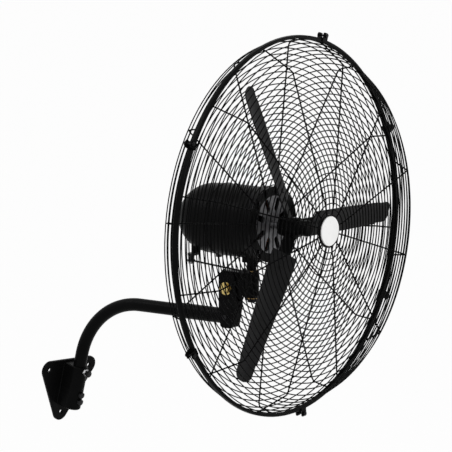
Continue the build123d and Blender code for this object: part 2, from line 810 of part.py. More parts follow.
with BuildPart() as rotor_core:
    with BuildSketch(across(stack_back)):
        Circle(stator_bore - air_gap)
        Circle(shaft_radius + seat_gap / 2, mode=Mode.SUBTRACT)
    extrude(amount=stack_front - stack_back)
export(rotor_core.part, "rotor_core")

with BuildPart() as drive_worm:
    with BuildSketch(across(crank_forward - worm_length / 2)):
        Circle(worm_radius)
        Circle(shaft_tail_radius + seat_gap / 2, mode=Mode.SUBTRACT)
    extrude(amount=worm_length)
export(drive_worm.part, "drive_worm")


def blade_angle(index):
    """Degrees from +side towards up at which a blade points."""
    return blade_phase + index * 360 / blade_count


def chord_plane(angle, radius, pitch):
    """Plane square to a blade's length: local x runs along the chord, its +x edge is forward."""
    outward = side * cos(radians(angle)) + up * sin(radians(angle))
    sideways = up * cos(radians(angle)) - side * sin(radians(angle))
    chord = sideways * cos(radians(pitch)) + forward * sin(radians(pitch))
    return Plane(origin=head_centre + forward * blade_plane + outward * radius, x_dir=chord,
                 z_dir=outward)


def blade_face(angle, radius):
    """Plane lying in the blade's root: local x points outward, the normal is the front face's."""
    section = chord_plane(angle, radius, blade_root_pitch)
    return Plane(origin=section.origin, x_dir=section.z_dir, z_dir=section.y_dir)


def blade_bolt_spots():
    """Planes at every blade bolt, on the blade's middle surface."""
    return [blade_face(blade_angle(index), place)
            for index in range(blade_count) for place in blade_bolt_places]


arm_lift = (hub_arm_thickness + blade_thickness) / 2
with BuildPart() as fan_hub:
    with BuildSketch(across(hub_back)):
        Circle(hub_radius)
    extrude(amount=hub_front - hub_back)
    for index in range(blade_count):
        with BuildSketch(chord_plane(blade_angle(index), 0, blade_root_pitch)):
            with Locations((0, -arm_lift)):
                Rectangle(hub_arm_width, hub_arm_thickness)
                fillet(vertices(), 1.5)
        extrude(amount=hub_arm_reach)
    with BuildSketch(across(hub_back)):
        Circle(shaft_radius + seat_gap / 2)
    extrude(amount=hub_front - hub_back, mode=Mode.SUBTRACT)
    for spot in blade_bolt_spots():
        with BuildSketch(spot):
            Circle(blade_bolt_radius + seat_gap)
        extrude(amount=-2 * hub_arm_thickness, mode=Mode.SUBTRACT)
    with BuildSketch(level(0)):
        with Locations((hub_screw_forward, 0)):
            Circle(hub_screw_radius + seat_gap)
    extrude(amount=2 * hub_radius, mode=Mode.SUBTRACT)
export(fan_hub.part, "fan_hub")

with BuildPart() as hub_set_screw:
    with BuildSketch(level(shaft_radius + seat_gap)):
        with Locations((hub_screw_forward, 0)):
            Circle(hub_screw_radius)
    extrude(amount=hub_radius - shaft_radius)
export(hub_set_screw.part, "hub_set_screw")

with BuildPart() as hub_nose:
    with BuildSketch(across(hub_front + seat_gap)):
        Circle(nose_radius)
    extrude(amount=nose_front - hub_front - seat_gap)
    fillet(hub_nose.faces().sort_by(Axis(head_centre, forward))[-1].edges(), 5)
    with BuildSketch(across(hub_front)):
        Circle(shaft_radius + seat_gap / 2)
    extrude(amount=shaft_front + 1 - hub_front, mode=Mode.SUBTRACT)
export(hub_nose.part, "hub_nose")

# ---------------------------------------------------------------- blades
blade_sections = (
    (hub_arm_reach + 4, blade_root_width, 0.4),
    ((2 * hub_arm_reach + blade_tip_radius) / 3, blade_inner_width, blade_camber),
    ((hub_arm_reach + 2 * blade_tip_radius) / 3, blade_outer_width, blade_camber),
    (blade_tip_radius, blade_tip_width, blade_camber / 2),
)


def section_pitch(radius):
    """Degrees of pitch: steady over the hub's arm, then easing towards the tip."""
    share = max(0, radius - hub_arm_reach - 4) / (blade_tip_radius - hub_arm_reach - 4)
    return blade_root_pitch + share * (blade_tip_pitch - blade_root_pitch)


def blade(angle):
    """One pressed sheet blade, hollow towards the front, with a rounded tip."""
    half = blade_thickness / 2
    with BuildPart() as sheet:
        for radius, width, camber in blade_sections:
            with BuildSketch(chord_plane(angle, radius, section_pitch(radius))):
                with BuildLine():
                    back = ThreePointArc((-width / 2, -half), (0, -half - camber), (width / 2, -half))
                    front = ThreePointArc((-width / 2, half), (0, half - camber), (width / 2, half))
                    Line(back @ 0, front @ 0)
                    Line(back @ 1, front @ 1)
                make_face()
        loft()
        with BuildSketch(chord_plane(angle, blade_root_radius, blade_root_pitch)):
            Rectangle(blade_root_width, blade_thickness)
        extrude(amount=hub_arm_reach + 4 - blade_root_radius)
        outline = chord_plane(angle, 0, blade_tip_pitch)
        with BuildSketch(Plane(origin=outline.origin, x_dir=outline.z_dir, z_dir=outline.y_dir)):
            with Locations((blade_tip_radius, 0)):
                Rectangle(2 * blade_tip_width, blade_tip_width, align=(Align.MAX, Align.CENTER))
            fillet(vertices().group_by(Axis.X)[-1], blade_tip_rounding)
            with Locations((blade_tip_radius - blade_tip_width, 0)):
                Rectangle(blade_tip_radius, 2 * blade_root_width, align=(Align.MAX, Align.CENTER))
        extrude(amount=blade_root_width, both=True, mode=Mode.INTERSECT)
        for place in blade_bolt_places:
            with BuildSketch(blade_face(angle, place)):
                Circle(blade_bolt_radius + seat_gap)
            extrude(amount=blade_thickness, both=True, mode=Mode.SUBTRACT)
    return sheet.part


for index in range(blade_count):
    export(blade(blade_angle(index)), "blade_" + str(index + 1))

with BuildPart() as blade_bolts:
    for spot in blade_bolt_spots():
        with BuildSketch(spot.offset(blade_thickness / 2)):
            Circle(1.8 * blade_bolt_radius)
        extrude(amount=blade_bolt_radius)
        with BuildSketch(spot.offset(blade_thickness / 2)):
            Circle(blade_bolt_radius)
        extrude(amount=-(blade_thickness + hub_arm_thickness + blade_bolt_radius + 1))
export(blade_bolts.part, "blade_bolts")

with BuildPart() as blade_bolt_nuts:
    for spot in blade_bolt_spots():
        with BuildSketch(spot.offset(-blade_thickness / 2 - hub_arm_thickness)):
            RegularPolygon(hexagon(3.3 * blade_bolt_radius), 6)
            Circle(blade_bolt_radius + seat_gap, mode=Mode.SUBTRACT)
        extrude(amount=-blade_bolt_radius)
export(blade_bolt_nuts.part, "blade_bolt_nuts")

# ---------------------------------------------------------------- guard profiles
# Drawn once in (radius, forward), from the middle outwards and then back along the slanted wall.
with BuildLine(Plane.XZ) as front_profile:
    FilletPolyline(
        (dish_radius + weld_gap, front_flat),
        (front_flat_radius, front_flat),
        (front_corner_radius, front_corner),
        (side_wall_radius, side_wall_start),
        (side_wall_radius, rim_wire_offset),
        radius=rib_bend_radius,
    )
with BuildLine(Plane.XZ) as back_profile:
    FilletPolyline(
        (mount_ring_inner + 2, back_flat),
        (back_corner_radius, back_flat),
        (side_wall_radius, -side_wall_start),
        (side_wall_radius, -rim_wire_offset),
        radius=rib_bend_radius,
    )


def ribs(profile, phase):
    """The guard's twelve radial wires, spread evenly about the fan's axis."""
    wire = profile.wire()
    with BuildPart() as one:
        with BuildSketch(Plane(origin=wire @ 0, z_dir=wire % 0)):
            Circle(rib_wire_radius)
        sweep(path=wire)
    with BuildPart(across(0)) as all_ribs:
        with PolarLocations(0, rib_count, start_angle=90 - phase):
            add(one.part)
    return all_ribs.part


def ring_places(profile, first_radius, outward):
    """Radius and forward of every ring wire, evenly spaced along the outside of the ribs.

    outward is 1 for the front guard and -1 for the back one.  The last ring clears the clips.
    """
    wire = profile.wire()
    seat = rib_wire_radius + ring_wire_radius + weld_gap
    clip_reach = hoop_half_width + side_gap + clip_wall + side_gap + ring_wire_radius
    first = first_radius - (wire @ 0).X
    last = wire.length - (clip_reach - rim_wire_offset)
    count = int((last - first) / ring_pitch) + 1
    step = (last - first) / (count - 1)
    places = []
    for index in range(count):
        share = (first + index * step) / wire.length
        spot = wire.position_at(share)
        run = wire.tangent_at(share)
        places.append((spot.X - outward * seat * run.Z, spot.Z + outward * seat * run.X))
    return places


def rings(places, wire_radius):
    """Closed wire rings about the fan's axis."""
    with BuildPart() as all_rings:
        with BuildSketch(along()):
            with Locations(*[(distance, radius) for radius, distance in places]):
                RegularPolygon(wire_radius, ring_wire_sides)
        revolve(axis=fan_axis)
    return all_rings.part


for name, profile, phase, first_radius, corner_radius, outward in (
    ("front", front_profile, front_rib_phase, front_first_ring, front_corner_radius, 1),
    ("back", back_profile, back_rib_phase, back_first_ring, back_corner_radius, -1),
):
    places = ring_places(profile, first_radius, outward)
    export(ribs(profile, phase), name + "_guard_ribs")
    export(rings([place for place in places if place[0] <= corner_radius], ring_wire_radius),
           name + "_guard_rings")
    export(rings([place for place in places if place[0] > corner_radius], ring_wire_radius),
           name + "_side_rings")
rim_radius = side_wall_radius + rib_wire_radius + weld_gap + rim_wire_radius
export(rings([(rim_radius, rim_wire_offset), (rim_radius, -rim_wire_offset)], rim_wire_radius),
       "rim_wires")

# ---------------------------------------------------------------- back guard's mounting ring and screws
mount_ring_front = bell_front + mount_ring_thickness
with BuildPart() as guard_mount_ring:
    with BuildSketch(across(bell_front)):
        Circle(bell_radius + 1)
        Circle(mount_ring_inner, mode=Mode.SUBTRACT)
        with PolarLocations(mount_screw_circle, mount_screw_count, start_angle=45):
            Circle(mount_screw_radius + seat_gap, mode=Mode.SUBTRACT)
    extrude(amount=mount_ring_thickness)
export(guard_mount_ring.part, "guard_mount_ring")

with BuildPart() as mount_screws:
    with BuildSketch(across(mount_ring_front)):
        with PolarLocations(mount_screw_circle, mount_screw_count, start_angle=45):
            RegularPolygon(hexagon(3.2 * mount_screw_radius), 6)
    extrude(amount=1.4 * mount_screw_radius)
    with BuildSketch(across(mount_ring_front)):
        with PolarLocations(mount_screw_circle, mount_screw_count, start_angle=45):
            Circle(mount_screw_radius)
    extrude(amount=-(mount_ring_thickness + bell_face_thickness + 4))
export(mount_screws.part, "mount_screws")

# ---------------------------------------------------------------- rim hoop, clips and their screws
hoop_outer_radius = hoop_radius + hoop_half_width
with BuildPart() as guard_hoop:
    with BuildSketch(along()):
        with Locations((0, hoop_outer_radius)):
            Rectangle(2 * hoop_half_width, hoop_outer_radius - hoop_lip_radius,
                      align=(Align.CENTER, Align.MAX))
        fillet(vertices().group_by(Axis.Y)[-1], 2 * hoop_wall)
        with Locations((0, hoop_outer_radius - hoop_wall)):
            Rectangle(2 * (hoop_half_width - hoop_wall), hoop_outer_radius - hoop_lip_radius,
                      align=(Align.CENTER, Align.MAX), mode=Mode.SUBTRACT)
    revolve(axis=fan_axis)
export(guard_hoop.part, "guard_hoop")

clip_inner = hoop_half_width + side_gap
clip_web = hoop_outer_radius + side_gap
clip_ear_top = clip_web + clip_wall + clip_ear_height
clip_screw_place = clip_web + clip_wall + clip_ear_height / 2


def clip_spots():
    """Places on the rim, in the plane across the axis, that carry a clip."""
    return Locations(*[Location((0, 0, 0), (0, 0, 90 - angle)) for angle in clip_angles])


with BuildPart() as one_clip:
    with BuildSketch(Plane.XZ):
        with Locations((hoop_lip_radius, 0)):
            Rectangle(clip_ear_top - hoop_lip_radius, 2 * (clip_inner + clip_wall),
                      align=(Align.MIN, Align.CENTER))
            Rectangle(clip_web - hoop_lip_radius, 2 * clip_inner, mode=Mode.SUBTRACT,
                      align=(Align.MIN, Align.CENTER))
        with Locations((clip_web + clip_wall, 0)):
            Rectangle(clip_ear_height, 2 * clip_inner, mode=Mode.SUBTRACT,
                      align=(Align.MIN, Align.CENTER))
    extrude(amount=clip_width / 2, both=True)
    fillet(one_clip.edges().filter_by(Axis.Z).group_by(Axis.X)[-1], clip_ear_height / 3)
    with BuildSketch(Plane.XY):
        with Locations((clip_screw_place, 0)):
            Circle(clip_screw_radius + seat_gap)
    extrude(amount=2 * clip_inner, both=True, mode=Mode.SUBTRACT)
with BuildPart(across(0)) as guard_clips:
    with clip_spots():
        add(one_clip.part)
export(guard_clips.part, "guard_clips")

clip_face = clip_inner + clip_wall
with BuildPart() as one_clip_screw:
    with BuildSketch(Plane.XY.offset(-clip_face - clip_head_height)):
        with Locations((clip_screw_place, 0)):
            RegularPolygon(hexagon(clip_head_flats), 6)
    extrude(amount=clip_head_height)
    with BuildSketch(Plane.XY.offset(-clip_face)):
        with Locations((clip_screw_place, 0)):
            Circle(clip_screw_radius)
    extrude(amount=2 * clip_face + clip_head_height + 1)
with BuildPart(across(0)) as clip_screws:
    with clip_spots():
        add(one_clip_screw.part)
export(clip_screws.part, "clip_screws")

with BuildPart() as one_clip_nut:
    with BuildSketch(Plane.XY.offset(clip_face)):
        with Locations((clip_screw_place, 0)):
            RegularPolygon(hexagon(clip_head_flats), 6)
            Circle(clip_screw_radius + seat_gap, mode=Mode.SUBTRACT)
    extrude(amount=clip_head_height)
with BuildPart(across(0)) as clip_nuts:
    with clip_spots():
        add(one_clip_nut.part)
export(clip_nuts.part, "clip_nuts")

# ---------------------------------------------------------------- dish and plain badge in the middle of the guard
badge_back = badge_face - badge_thickness
with BuildPart() as badge_dish:
    with BuildSketch(across(dish_back)):
        Circle(dish_radius)
    extrude(amount=front_flat + rib_wire_radius - dish_back)
    with BuildSketch(across(dish_back + dish_wall)):
        Circle(dish_radius - dish_wall)
        Circle(badge_radius / 2, mode=Mode.SUBTRACT)
    extrude(amount=front_flat - dish_back, mode=Mode.SUBTRACT)
    with BuildSketch(across(badge_back - seat_gap)):
        Circle(dish_radius - dish_wall)
    extrude(amount=front_flat, mode=Mode.SUBTRACT)
export(badge_dish.part, "badge_dish")

with BuildPart() as badge:
    with BuildSketch(across(badge_back)):
        Circle(badge_radius)
    extrude(amount=badge_thickness)
    fillet(badge.faces().sort_by(Axis(head_centre, forward))[-1].edges(), 1)
export(badge.part, "badge")
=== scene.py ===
import json
from math import cos, pi, radians, sin

import bmesh
import bpy
from mathutils import Matrix, Vector


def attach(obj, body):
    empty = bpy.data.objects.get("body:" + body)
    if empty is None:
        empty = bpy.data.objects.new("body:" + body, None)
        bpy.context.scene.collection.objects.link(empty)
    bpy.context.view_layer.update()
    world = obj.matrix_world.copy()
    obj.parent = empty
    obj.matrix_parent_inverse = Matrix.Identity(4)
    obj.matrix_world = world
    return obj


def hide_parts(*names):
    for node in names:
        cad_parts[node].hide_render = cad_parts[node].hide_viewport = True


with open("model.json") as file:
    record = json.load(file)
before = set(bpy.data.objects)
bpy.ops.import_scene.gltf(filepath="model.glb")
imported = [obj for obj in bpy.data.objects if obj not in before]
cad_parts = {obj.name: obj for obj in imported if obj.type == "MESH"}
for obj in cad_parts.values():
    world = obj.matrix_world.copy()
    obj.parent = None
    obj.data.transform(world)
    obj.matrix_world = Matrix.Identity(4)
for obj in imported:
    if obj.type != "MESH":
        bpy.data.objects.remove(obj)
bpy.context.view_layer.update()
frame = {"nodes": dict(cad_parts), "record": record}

scene = bpy.context.scene
scene.view_settings.view_transform = "Standard"

# ---------------------------------------------------------------- the head's own directions
ARM_SWING = radians(8.0)
ARM_RISE = radians(13.3)
HEAD = Vector((0.063640, -0.486829, 0.529280))      # centre of the guard's rim hoop
FORWARD = Vector((sin(ARM_SWING) * cos(ARM_RISE), -cos(ARM_SWING) * cos(ARM_RISE), sin(ARM_RISE)))
UP = Vector((-sin(ARM_SWING) * sin(ARM_RISE), cos(ARM_SWING) * sin(ARM_RISE), cos(ARM_RISE)))
SIDE = Vector((cos(ARM_SWING), sin(ARM_SWING), 0))


def head_point(side, forward, up):
    """A place on the fan's head, in metres from the hoop's centre."""
    return HEAD + SIDE * side + FORWARD * forward + UP * up


# ---------------------------------------------------------------- camera
PHOTO_SIDE = 452
FOCAL_PIXELS = 6000
SENSOR = 36.0
CAMERA_TURN = radians(-54.0148)
CAMERA_HEIGHT = radians(9.3506)
CAMERA_SHIFT = -0.13057
CAMERA_LIFT = 0.0005
CAMERA_DISTANCE = 12.69239


def head_direction(side, backward, up):
    return SIDE * side - FORWARD * backward + UP * up


right = head_direction(cos(CAMERA_TURN), sin(CAMERA_TURN), 0)
back = head_direction(sin(CAMERA_TURN) * cos(CAMERA_HEIGHT), -cos(CAMERA_TURN) * cos(CAMERA_HEIGHT),
                      sin(CAMERA_HEIGHT))
above = back.cross(right)
camera = bpy.data.objects.new("camera", bpy.data.cameras.new("camera"))
scene.collection.objects.link(camera)
place = Matrix((right, above, back)).transposed().to_4x4()
place.translation = HEAD + right * CAMERA_SHIFT + above * CAMERA_LIFT + back * CAMERA_DISTANCE
camera.matrix_world = place
camera.data.sensor_width = SENSOR
camera.data.lens = FOCAL_PIXELS * SENSOR / PHOTO_SIDE
camera.data.clip_end = 100
scene.camera = camera

# ---------------------------------------------------------------- materials
NOISE_LOW, NOISE_HIGH = 0.3, 0.7      # most of a noise texture's values lie between these


def shade(colour, factor):
    return tuple(channel * factor for channel in colour)


class Shader:
    """A material under construction: nodes by type, linked by socket name."""

    def __init__(self, name):
        self.material = bpy.data.materials.new(name)
        self.material.use_nodes = True
        self.tree = self.material.node_tree
        self.surface = self.tree.nodes["Principled BSDF"]
        self.place = self.node("ShaderNodeTexCoord").outputs["Object"]

    def node(self, kind, **values):
        made = self.tree.nodes.new(kind)
        for key, value in values.items():
            socket = made.inputs.get(key.replace("_", " ").title())
            if socket is None:
                setattr(made, key, value)
            else:
                socket.default_value = value
        return made

    def join(self, source, target):
        self.tree.links.new(source, target)

    def noise(self, scale, detail=3.0, stretch=None):
        made = self.node("ShaderNodeTexNoise", scale=scale, detail=detail, roughness=0.55)
        source = self.place
        if stretch:
            mapping = self.node("ShaderNodeMapping")
            mapping.inputs["Scale"].default_value = stretch
            self.join(source, mapping.inputs["Vector"])
            source = mapping.outputs["Vector"]
        self.join(source, made.inputs["Vector"])
        return made.outputs["Fac"]

    def uneven_colour(self, colour, scale, dark, light):
        """Base colour that wanders between two shades of one colour."""
        made = self.node("ShaderNodeValToRGB")
        low, high = made.color_ramp.elements
        low.position, high.position = NOISE_LOW, NOISE_HIGH
        low.color = (*shade(colour, dark), 1)
        high.color = (*shade(colour, light), 1)
        self.join(self.noise(scale), made.inputs["Fac"])
        self.join(made.outputs["Color"], self.surface.inputs["Base Color"])

    def uneven_gloss(self, source, roughness, less, more):
        """Roughness that wanders a little below and above its middle value."""
        made = self.node("ShaderNodeMapRange")
        made.inputs["From Min"].default_value = NOISE_LOW
        made.inputs["From Max"].default_value = NOISE_HIGH
        made.inputs["To Min"].default_value = roughness - less
        made.inputs["To Max"].default_value = roughness + more
        self.join(source, made.inputs["Value"])
        self.join(made.outputs["Result"], self.surface.inputs["Roughness"])

    def bump(self, source, distance):
        """Relief in metres, added on top of what is already there."""
        made = self.node("ShaderNodeBump")
        made.inputs["Strength"].default_value = 1.0
        made.inputs["Distance"].default_value = distance
        if self.surface.inputs["Normal"].is_linked:
            self.join(self.surface.inputs["Normal"].links[0].from_socket, made.inputs["Normal"])
        self.join(source, made.inputs["Height"])
        self.join(made.outputs["Normal"], self.surface.inputs["Normal"])

    def set(self, name, value):
        self.surface.inputs[name].default_value = value


def paint(name, colour, roughness, specular, peel=0.00004, grain=420.0):
    """Sprayed or powder coated steel: orange peel and slow changes of shade and gloss."""
    made = Shader(name)
    made.uneven_colour(colour, scale=14, dark=0.78, light=1.3)
    made.uneven_gloss(made.noise(scale=55, detail=4), roughness, less=0.06, more=0.09)
    made.bump(made.noise(grain, detail=2), peel)
    made.set("Specular IOR Level", specular)
    return made


def metal(name, colour, roughness, stretch=None):
    """Bare or plated metal with fine scratches and slightly uneven plating."""
    made = Shader(name)
    made.uneven_colour(colour, scale=60, dark=0.72, light=1.12)
    made.uneven_gloss(made.noise(scale=140, detail=4, stretch=stretch), roughness, less=0.08, more=0.12)
    made.bump(made.noise(scale=700, detail=2, stretch=stretch), distance=0.00002)
    made.set("Metallic", 1.0)
    return made


def cast(name, colour):
    """Dull die-cast alloy with a sandy skin."""
    made = metal(name, colour, roughness=0.5)
    made.bump(made.noise(scale=900, detail=5), distance=0.00012)
    made.bump(made.noise(scale=90), distance=0.00015)
    return made


BELL_FACE = -0.044      # the end bell is painted black behind here
BELL_BLEND = 0.0006     # the paint fades out over this depth to either side
BELL_BLACK = (0.004, 0.004, 0.0042, 1)


def bell_casting(name, colour):
    """Bare cast face in front, overspray of the motor's black paint on the sides behind it."""
    made = cast(name, colour)
    depth = made.node("ShaderNodeVectorMath", operation="DOT_PRODUCT")
    made.join(made.place, depth.inputs[0])
    depth.inputs[1].default_value = FORWARD
    edge = made.node("ShaderNodeMapRange")
    edge.inputs["From Min"].default_value = HEAD.dot(FORWARD) + BELL_FACE - BELL_BLEND
    edge.inputs["From Max"].default_value = HEAD.dot(FORWARD) + BELL_FACE + BELL_BLEND
    made.join(depth.outputs["Value"], edge.inputs["Value"])
    mixer = made.node("ShaderNodeMixRGB")
    bare = made.surface.inputs["Base Color"].links[0].from_socket
    made.join(edge.outputs["Result"], mixer.inputs["Fac"])
    mixer.inputs["Color1"].default_value = BELL_BLACK
    made.join(bare, mixer.inputs["Color2"])
    made.join(mixer.outputs["Color"], made.surface.inputs["Base Color"])
    return made


def plastic(name, colour, roughness, specular=0.5):
    """Moulded plastic with a faint texture."""
    made = Shader(name)
    made.uneven_colour(colour, scale=25, dark=0.96, light=1.02)
    made.uneven_gloss(made.noise(scale=80), roughness, less=0.04, more=0.05)
    made.bump(made.noise(scale=1200, detail=2), distance=0.00001)
    made.set("Specular IOR Level", specular)
    return made


def layers(name, colour):
    """Stacked sheet: fine ridges square to the fan's axis."""
    made = metal(name, colour, roughness=0.5)
    turn = made.node("ShaderNodeMapping")
    turn.inputs["Rotation"].default_value = (ARM_RISE, 0, -ARM_SWING)
    made.join(made.place, turn.inputs["Vector"])
    wave = made.node("ShaderNodeTexWave", bands_direction="Y", scale=300.0, distortion=0.4)
    made.join(turn.outputs["Vector"], wave.inputs["Vector"])
    made.bump(wave.outputs["Fac"], distance=0.0001)
    return made


SHADERS = {
    "black_paint": paint("black_paint", (0.0026, 0.0026, 0.0027), 0.34, 0.025),
    "black_wire": paint("black_wire", (0.0020, 0.0020, 0.0021), 0.40, 0.015, 0.00002, 700.0),
    "black_trim": paint("black_trim", (0.0024, 0.0024, 0.0025), 0.32, 0.025),
    "blade_paint": paint("blade_paint", (0.011, 0.011, 0.0113), 0.45, 0.06, 0.00003, 600.0),
    "grey_casting": bell_casting("grey_casting", (0.13, 0.13, 0.135)),
    "blackened_steel": metal("blackened_steel", (0.020, 0.020, 0.021), 0.38),
    "zinc": metal("zinc", (0.42, 0.42, 0.43), 0.35),
    "yellow_zinc": metal("yellow_zinc", (0.55, 0.42, 0.16), 0.3),
    "bronze": metal("bronze", (0.38, 0.25, 0.11), 0.4),
    "machined_steel": metal("machined_steel", (0.4, 0.4, 0.41), 0.28, (1, 1, 14)),
    "laminations": layers("laminations", (0.15, 0.15, 0.16)),
    "copper": metal("copper", (0.45, 0.17, 0.07), 0.38, (1, 16, 1)),
    "white_plastic": plastic("white_plastic", (0.80, 0.80, 0.79), 0.3),
    "gland_plastic": plastic("gland_plastic", (0.012, 0.012, 0.012), 0.5, 0.3),
}
slot_of = {entry["node"]: entry["material_slot"] for entry in frame["record"]["subparts"]}
for name, node in frame["nodes"].items():
    node.data.materials.clear()
    node.data.materials.append(SHADERS[slot_of[name]].material)


# ---------------------------------------------------------------- pieces finer than the solids
SHARP_ANGLE = radians(32)


def finish_piece(name, maker, body, slot, replaced=()):
    """Turn a bmesh into a smooth shaded piece that rides on a body."""
    bmesh.ops.recalc_face_normals(maker, faces=maker.faces)
    mesh = bpy.data.meshes.new(name)
    maker.to_mesh(mesh)
    maker.free()
    mesh.shade_smooth()
    mesh.set_sharp_from_angle(angle=SHARP_ANGLE)
    piece = bpy.data.objects.new(name, mesh)
    scene.collection.objects.link(piece)
    mesh.materials.append(SHADERS[slot].material)
    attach(piece, body)
    if replaced:
        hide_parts(*replaced)


def turned(maker, origin, axis, rows, segments):
    """Closed body of rows, capped at both ends. A row is a height along the axis and a radius.

    The radius is a number, or a function of the angle that gives a radius and a lift.
    """
    spin = axis.to_track_quat("Z", "Y").to_matrix()
    loops = []
    for height, radius in rows:
        loop = []
        for step in range(segments):
            angle = 2 * pi * step / segments
            reach, lift = radius(angle) if callable(radius) else (radius, 0.0)
            spot = Vector((reach * cos(angle), reach * sin(angle), height + lift))
            loop.append(maker.verts.new(origin + spin @ spot))
        loops.append(loop)
    for low, high in zip(loops, loops[1:]):
        for step in range(segments):
            after = (step + 1) % segments
            maker.faces.new((low[step], low[after], high[after], high[step]))
    maker.faces.new(loops[0][::-1])
    maker.faces.new(loops[-1])


CHAMFER_SLOPE = 0.6         # how far a head's corners drop for each unit beyond its flats
CHAMFER_START = 0.97        # share of a head's height at which the flats end
CHAMFER_FACE = 0.47         # radius of a head's outer face, as a share of its flats
THREAD_DEPTH = 0.6          # as a share of the pitch
ROWS_A_TURN = 8


def hexagonal(flats, slope):
    """Reach of a hexagon at an angle, with corners that drop away at a slope."""
    def radius(angle):
        corner = (angle + pi / 6) % (pi / 3) - pi / 6
        reach = flats / 2 / cos(corner)
        return reach, -(reach - flats / 2) * slope
    return radius


def hex_head(maker, seat, axis, flats, height):
    """Hexagon whose outer face is chamfered to a circle, standing on seat."""
    rows = [(0, hexagonal(flats, 0)),
            (height * CHAMFER_START, hexagonal(flats, CHAMFER_SLOPE)),
            (height, flats * CHAMFER_FACE)]
    turned(maker, seat, axis, rows, segments=72)


def threaded(maker, start, axis, radius, length, pitch):
    """Screw shank with a helical thread, from start along axis."""
    def crest(height):
        def at(angle):
            phase = (height / pitch - angle / (2 * pi)) % 1
            return radius - pitch * THREAD_DEPTH * abs(2 * phase - 1), 0.0
        return at
    count = int(length / pitch * ROWS_A_TURN)
    heights = [length * row / count for row in range(count + 1)]
    turned(maker, start, axis, [(height, crest(height)) for height in heights], segments=32)


ROWS_A_RIPPLE = 5
BEAD_END = 0.0004           # radius at a bead's two ends
BEAD_BLUNTNESS = 14         # the higher, the shorter a bead's rounded ends


def bead(maker, start, stop, radius, ripple):
    """Weld bead along a straight joint, rippled and rounded off at both ends."""
    run = stop - start
    count = int(run.length / ripple * ROWS_A_RIPPLE)
    rows = []
    for row in range(count + 1):
        rounding = (1 - abs(2 * row / count - 1) ** BEAD_BLUNTNESS) ** 0.5
        wave = 0.9 + 0.1 * sin(2 * pi * row / ROWS_A_RIPPLE)
        rows.append((run.length * row / count, max(BEAD_END, radius * rounding * wave)))
    turned(maker, start, run.normalized(), rows, segments=16)


# ---------------------------------------------------------------- clamp screws with heads and threads
CLAMP_SCREWS = (            # height on the bracket, and the head's seat out from the wall
    (0.041, 0.062),
    (-0.012, 0.0533),
    (-0.028, 0.0533),
)
CLAMP_TIP = 0.0484
CLAMP_FLATS, CLAMP_HEIGHT = 0.013, 0.0055
CLAMP_RADIUS, CLAMP_PITCH = 0.0039, 0.00125
outward = Vector((0, -1, 0))
maker = bmesh.new()
for height, seat in CLAMP_SCREWS:
    hex_head(maker, Vector((0, -seat, height)), outward, CLAMP_FLATS, CLAMP_HEIGHT)
    threaded(maker, Vector((0, -CLAMP_TIP, height)), outward, CLAMP_RADIUS, seat - CLAMP_TIP, CLAMP_PITCH)
finish_piece("clamp_screws_threaded", maker, "wall_bracket", "blackened_steel", ["clamp_screws"])

# ---------------------------------------------------------------- tilt bolt with head and thread
TILT_FORWARD, TILT_UP = -0.150, -0.147
WASHER_SIDE = -0.0153       # inner face of the head's washer, a small gap off the neck's cheek
WASHER = 0.0022
TILT_FLATS, TILT_HEIGHT = 0.020, 0.0075
TILT_RADIUS, TILT_PITCH = 0.0059, 0.00175
TILT_TAIL = 0.003           # shank beyond the nut
TILT_SHANK = -2 * WASHER_SIDE + 2 * WASHER + TILT_HEIGHT + TILT_TAIL
tilt_seat = head_point(WASHER_SIDE - WASHER, TILT_FORWARD, TILT_UP)
maker = bmesh.new()
hex_head(maker, tilt_seat, SIDE * -1, TILT_FLATS, TILT_HEIGHT)
threaded(maker, tilt_seat, SIDE, TILT_RADIUS, TILT_SHANK, TILT_PITCH)
finish_piece("tilt_bolt_threaded", maker, "arm", "yellow_zinc", ["tilt_bolt"])

# ---------------------------------------------------------------- weld beads and the cover's rolled lip
WELD_SIDE = 0.0195          # from the bracket's middle to a bead's middle line
WELD_OUT = 0.0065           # from the wall to that line
WELD_BOTTOM, WELD_TOP = -0.046, 0.048
WELD_RADIUS, WELD_RIPPLE = 0.0026, 0.0024
maker = bmesh.new()
for x in (-WELD_SIDE, WELD_SIDE):
    bead(maker, Vector((x, -WELD_OUT, WELD_BOTTOM)), Vector((x, -WELD_OUT, WELD_TOP)),
         WELD_RADIUS, WELD_RIPPLE)
finish_piece("socket_welds", maker, "wall_bracket", "black_paint")


def ring_of(maker, forward, radius, section, segments=160, around=12):
    """Torus about the fan's axis."""
    loops = []
    for step in range(segments):
        angle = 2 * pi * step / segments
        loop = []
        for turn in range(around):
            bend = 2 * pi * turn / around
            reach = radius + section * cos(bend)
            loop.append(maker.verts.new(head_point(reach * cos(angle), forward + section * sin(bend),
                                                   reach * sin(angle))))
        loops.append(loop)
    for step, loop in enumerate(loops):
        after = loops[(step + 1) % segments]
        for turn in range(around):
            following = (turn + 1) % around
            maker.faces.new((loop[turn], loop[following], after[following], after[turn]))


LIP_FORWARD, LIP_RADIUS, LIP_SECTION = -0.163, 0.0768, 0.0014
maker = bmesh.new()
ring_of(maker, LIP_FORWARD, LIP_RADIUS, LIP_SECTION)
finish_piece("cover_lip", maker, "fan_head", "black_paint")

# ---------------------------------------------------------------- spot welds where rings cross ribs
RIB_COUNT = 12
FRONT_PHASE = 73.5          # degrees, of the first rib
BACK_PHASE = 82.0
NUGGET = 0.0019
SINK = 0.0011               # from the ring's middle to a nugget's middle, towards the rib
READ_SLOPE = 0.06           # rings are read where they lie this close to the side direction
SAME_RING = 0.004           # vertices of one ring's section are no further apart than this


